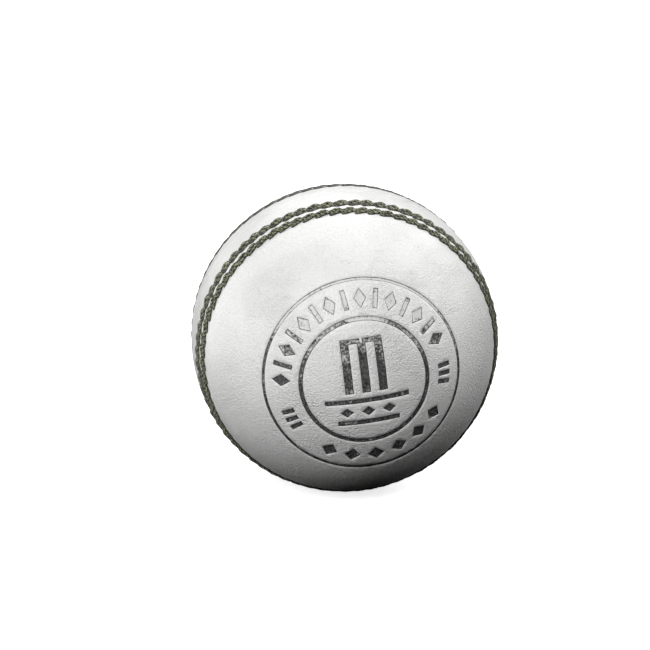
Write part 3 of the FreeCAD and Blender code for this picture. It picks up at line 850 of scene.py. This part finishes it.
def lay_strands(tree, given, tube, points, facing):
    """Two strands side by side in each stitch, each a little different."""
    put = partial(add, tree)
    row = put("GeometryNodeJoinGeometry")
    for strand, side in enumerate((-0.5, 0.5)):
        draw = {}
        for name, (least, most, step) in UNEVEN.items():
            seed = put("ADD", (given["Seed"], 10 * strand + step))
            draw[name] = put("FunctionNodeRandomValue", {"Min": least, "Max": most, "Seed": seed},
                             data_type="FLOAT")
        slant = put("ADD", (given["Slant"], draw["turn"]))
        turn = put("FunctionNodeAxisAngleToRotation", {"Axis": (0, 0, 1), "Angle": slant})
        heading = put("FunctionNodeRotateRotation", {"Rotation": facing, "Rotate By": turn},
                      rotation_space="LOCAL")
        seed = put("ADD", (given["Seed"], 40))
        slip = put("FunctionNodeRandomValue", {"Min": -SLIP, "Max": SLIP, "Seed": seed},
                   data_type="FLOAT")
        ahead = put("MULTIPLY_ADD", (given["Length"], -STRAND_LAG * side, slip))
        aside = put("MULTIPLY", (draw["apart"], side))
        aside = put("MULTIPLY", (aside, given["Apart"]))
        moved = put(XYZ, (ahead, aside))
        moved = put("FunctionNodeRotateVector", {"Vector": moved, "Rotation": heading})
        shifted = put("GeometryNodeSetPosition", {"Geometry": points, "Offset": moved})
        size = put(XYZ, (draw["long"], draw["wide"], draw["tall"]))
        laid = put("GeometryNodeInstanceOnPoints",
                   {"Points": shifted, "Instance": tube, "Rotation": heading, "Scale": size})
        tree.links.new(laid.outputs[0], row.inputs[0])
    return put("GeometryNodeRealizeInstances", {"Geometry": row})


def loose_fibres(tree, given, row):
    """Short fibres that stand out of the thread."""
    put = partial(add, tree)
    scatter = put("GeometryNodeDistributePointsOnFaces",
                  {"Mesh": row, "Density": FIBRE_DENSITY, "Seed": given["Seed"]})
    fibre = put("GeometryNodeMeshCone", {
        "Vertices": 3, "Radius Top": FIBRE_TIP, "Radius Bottom": FIBRE_ROOT, "Depth": given["Fuzz"],
    }, fill_type="NGON")
    lean = put("FunctionNodeRandomValue",
               {"Min": (-FIBRE_LEAN, -FIBRE_LEAN, 0.0), "Max": (FIBRE_LEAN, FIBRE_LEAN, 2 * math.pi),
                "Seed": given["Seed"]}, data_type="FLOAT_VECTOR")
    lean = put("FunctionNodeEulerToRotation", {"Euler": lean})
    stand = put("FunctionNodeRotateRotation",
                {"Rotation": scatter.outputs["Rotation"], "Rotate By": lean}, rotation_space="LOCAL")
    seed = put("ADD", (given["Seed"], 30))
    share = put("FunctionNodeRandomValue", {"Min": FIBRE_SHORTEST, "Max": 1.0, "Seed": seed},
                data_type="FLOAT")
    return put("GeometryNodeInstanceOnPoints", {
        "Points": scatter.outputs["Points"], "Instance": fibre.outputs["Mesh"], "Rotation": stand,
        "Scale": share,
    })


def stitch_tree():
    """A geometry tree that lays one row of twisted, slanted stitches round a cup."""
    tree = bpy.data.node_groups.new("Seam stitches", "GeometryNodeTree")
    put = partial(add, tree)
    face = tree.interface
    face.new_socket("Geometry", in_out="INPUT", socket_type="NodeSocketGeometry")
    face.new_socket("Geometry", in_out="OUTPUT", socket_type="NodeSocketGeometry")
    for name, kind in STITCH_INPUTS.items():
        face.new_socket(name, in_out="INPUT", socket_type=f"NodeSocket{kind}")
    given = put("NodeGroupInput").outputs
    tube = strand_tube(tree, given)
    points, facing = row_points(tree, given)
    row = lay_strands(tree, given, tube, points, facing)
    hair = loose_fibres(tree, given, row)
    both = put("GeometryNodeJoinGeometry")
    tree.links.new(row.outputs[0], both.inputs[0])
    tree.links.new(hair.outputs[0], both.inputs[0])
    side_turn = put(XYZ, (given["Side"],))
    done = put("GeometryNodeTransform", {"Geometry": both, "Rotation": side_turn})
    done = put("GeometryNodeSetShadeSmooth", {"Geometry": done})
    done = put("GeometryNodeRealizeInstances", {"Geometry": done})
    done = put("GeometryNodeSetMaterial", {"Geometry": done, "Material": given["Material"]})
    put("NodeGroupOutput", (done,))
    return tree


def grow(name, tree, values):
    """Run a geometry tree with these input values and keep its result as a plain mesh object."""
    seed_mesh = bpy.data.meshes.new(name)
    made = bpy.data.objects.new(name, seed_mesh)
    bpy.context.scene.collection.objects.link(made)
    modifier = made.modifiers.new("Grow", "NODES")
    modifier.node_group = tree
    for item in tree.interface.items_tree:
        if item.in_out == "INPUT" and item.name in values:
            modifier[item.identifier] = values[item.name]
    graph = bpy.context.evaluated_depsgraph_get()
    mesh = bpy.data.meshes.new_from_object(made.evaluated_get(graph))
    made.modifiers.remove(modifier)
    made.data = mesh
    mesh.name = name
    return made


class BALL_OT_stitches(bpy.types.Operator):
    """Sew the four rows of green stitches"""

    bl_idname = "ball.stitches"
    bl_label = "Seam stitches"

    def execute(self, context):
        seam = context.scene.ball_seam
        finish = waxed_thread("Waxed linen thread", context.scene.ball_colours, seam.twists)
        tree = stitch_tree()
        for number, side in enumerate(SIDES):
            for row, place in enumerate(("inner", "outer")):
                far = side == "back" and place == "inner"
                kind = "back" if far else place
                reach = getattr(seam, f"{place}_row") + (seam.back_shift if far else 0)
                values = {
                    "Count": seam.count, "Phase": 0.5 * row * 2 * math.pi / seam.count,
                    "Ball radius": BALL_R * MM, "Row": reach * MM, "Slant": seam.slant,
                    "Length": seam.length * MM, "Strand": getattr(seam, f"{kind}_strand") * MM,
                    "Apart": getattr(seam, f"{kind}_apart") * MM,
                    "Proud": (seam.proud if side == "front" else seam.back_proud) * MM,
                    "Arch": seam.arch * MM, "Curl": (seam.back_curl if far else seam.curl) * MM,
                    "Ply": seam.ply * MM, "Twists": seam.twists, "Fuzz": seam.fuzz * MM,
                    "Side": math.radians(-90 * SIDES[side]), "Seed": seam.seed + 10 * (2 * number + row),
                    "Material": finish,
                }
                thread = grow(f"{side}_{place}_stitching", tree, values)
                if not thread.data.polygons:
                    raise RuntimeError(f"{thread.name} has no stitches")
                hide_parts(f"{side}_{place}_stitches")
                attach(thread, "root")
        return {"FINISHED"}


INNER_FINISHES = {
    "cork": ("Cut cork", "B98A5A", "5F3F22", 1.2, 0.9),
    "yarn": ("Worsted yarn", "D8CDB4", "8F8269", 0.5, 0.95),
    "lining_leather": ("Undyed split leather", "CDB993", "9C8560", 0.6, 0.85),
    "closing_thread": ("Undyed waxed thread", "E6E0CC", "A39B83", 0.3, 0.7),
}


class BALL_OT_core(bpy.types.Operator):
    """Give the cork, yarn, lining and hidden thread their finishes"""

    bl_idname = "ball.core"
    bl_label = "Core and lining"

    def execute(self, context):
        finishes = {slot: plain_grained(*look) for slot, look in INNER_FINISHES.items()}
        for part in frame["record"]["subparts"]:
            finish = finishes.get(part["material_slot"])
            if finish:
                node = frame["nodes"][part["node"]]
                node.data.materials.clear()
                node.data.materials.append(finish)
        return {"FINISHED"}


CAMERA_TURN, CAMERA_RISE, CAMERA_FAR, CAMERA_LENS = math.radians(-6.59), math.radians(18.29), 2.1287, 500
CAMERA_SHIFT, SENSOR_WIDE, CAMERA_REACH = (-0.0293, 0.0188), 36, 20

# A paper sweep in metres: half its width, its front edge, where it starts to bend up behind the
# ball, the bend's radius and its top edge. Its glow stands in for the light that falls on it.
PAPER_HALF, PAPER_FRONT, PAPER_BEND, PAPER_ROUND, PAPER_TOP = 3.0, -1.6, 1.2, 0.8, 3.0
PAPER_GLOW, ROOM_LIGHT = 0.75, 0.006

# Soft lamps a metre from the ball's centre, with their directions and watts: a key above the
# camera, and lamps behind and beside the ball.
LAMP_WIDE = 0.6
LAMPS = [
    ("key", (-0.30, -0.72, 0.63), 9.4),
    ("left", (-0.96, -0.22, 0.16), 2.3),
    ("left_back", (-0.83, 0.55, 0.00), 4.0),
    ("top_back", (-0.02, 0.70, 0.72), 5.8),
    ("right_back", (0.74, 0.28, 0.61), 5.2),
    ("right", (0.95, 0.06, 0.30), 2.7),
]


def make_floor(scene):
    """A pale paper floor at the ball's lowest point, which bends up behind it."""
    low, round_up = CAD_BOX[0][2], PAPER_ROUND
    sweep = [(PAPER_FRONT, 0.0), (PAPER_BEND, 0.0)]
    sweep += [(PAPER_BEND + round_up * math.sin(a), round_up - round_up * math.cos(a))
              for a in np.linspace(0.1, math.pi / 2, 12)]
    sweep.append((PAPER_BEND + round_up, PAPER_TOP))
    verts = [(x, y, low + z) for y, z in sweep for x in (-PAPER_HALF, PAPER_HALF)]
    faces = [(2 * i, 2 * i + 1, 2 * i + 3, 2 * i + 2) for i in range(len(sweep) - 1)]
    mesh = bpy.data.meshes.new("studio_floor")
    mesh.from_pydata(verts, [], faces)
    mesh.shade_smooth()
    floor = bpy.data.objects.new("studio_floor", mesh)
    scene.collection.objects.link(floor)
    material, tree = start_material("Matt white paper")
    shader = add(tree, "ShaderNodeBsdfPrincipled", {
        "Base Color": colour("F4F4F4"), "Roughness": 0.9, "Specular IOR Level": 0.1,
        "Emission Color": colour("FFFFFF"), "Emission Strength": PAPER_GLOW,
    })
    add(tree, "ShaderNodeOutputMaterial", {"Surface": shader})
    mesh.materials.append(material)
    # The paper throws no light back on the ball and holds none off it, as if it lay well below.
    floor.visible_diffuse = floor.visible_glossy = floor.visible_shadow = False
    return floor


def light_studio(scene):
    """A dim even room and the soft lamps."""
    world = bpy.data.worlds.new("Studio")
    world.use_nodes = True
    background = world.node_tree.nodes["Background"]
    background.inputs["Color"].default_value = colour("FFFFFF")
    background.inputs["Strength"].default_value = ROOM_LIGHT
    scene.world = world
    for name, direction, watts in LAMPS:
        light = bpy.data.lights.new(name, "AREA")
        light.shape = "DISK"
        light.size = LAMP_WIDE
        light.energy = watts
        lamp = bpy.data.objects.new(name, light)
        lamp.location = Vector(direction).normalized()
        lamp.rotation_euler = Vector(direction).to_track_quat("Z", "Y").to_euler()
        scene.collection.objects.link(lamp)


def set_camera(scene):
    """A long lens in front of the ball, a little to its left and above it."""
    lens = bpy.data.cameras.new("camera")
    lens.lens, lens.sensor_width = CAMERA_LENS, SENSOR_WIDE
    lens.shift_x, lens.shift_y = CAMERA_SHIFT
    lens.clip_end = CAMERA_REACH
    camera = bpy.data.objects.new("camera", lens)
    back = Vector((math.sin(CAMERA_TURN) * math.cos(CAMERA_RISE),
                   -math.cos(CAMERA_TURN) * math.cos(CAMERA_RISE), math.sin(CAMERA_RISE)))
    camera.location = back * CAMERA_FAR
    camera.rotation_euler = back.to_track_quat("Z", "Y").to_euler()
    scene.collection.objects.link(camera)
    scene.camera = camera
    scene.view_settings.view_transform = "Standard"


class BALL_OT_stage(bpy.types.Operator):
    """Set up the floor, the studio lights and the camera"""

    bl_idname = "ball.stage"
    bl_label = "Stage"

    def execute(self, context):
        floor = make_floor(context.scene)
        light_studio(context.scene)
        set_camera(context.scene)
        return {"FINISHED"}


class BALL_PT_panel(bpy.types.Panel):
    """Lists the steps that build the ball"""

    bl_label = "Cricket Ball"
    bl_idname = "BALL_PT_panel"
    bl_space_type = "VIEW_3D"
    bl_region_type = "UI"
    bl_category = "Cricket Ball"

    def draw(self, context):
        for step in STEPS:
            self.layout.operator(step.bl_idname)
        for group in GROUPS:
            for name in GROUPS[group].__annotations__:
                self.layout.prop(getattr(context.scene, group), name)


GROUPS = {"ball_seam": SeamSizes, "ball_stamp": StampSizes, "ball_colours": BallColours}
STEPS = [BALL_OT_core, BALL_OT_cups, BALL_OT_foil, BALL_OT_stitches, BALL_OT_stage]


def register():
    for kind in [*GROUPS.values(), *STEPS, BALL_PT_panel]:
        bpy.utils.register_class(kind)
    for name, group in GROUPS.items():
        setattr(bpy.types.Scene, name, PointerProperty(type=group))


def unregister():
    for name in GROUPS:
        delattr(bpy.types.Scene, name)
    for kind in reversed([*GROUPS.values(), *STEPS, BALL_PT_panel]):
        bpy.utils.unregister_class(kind)


def main():
    register()
    bpy.ops.ball.core()
    bpy.ops.ball.cups()
    bpy.ops.ball.foil()
    bpy.ops.ball.stitches()
    bpy.ops.ball.stage()


if __name__ == "__main__":
    main()
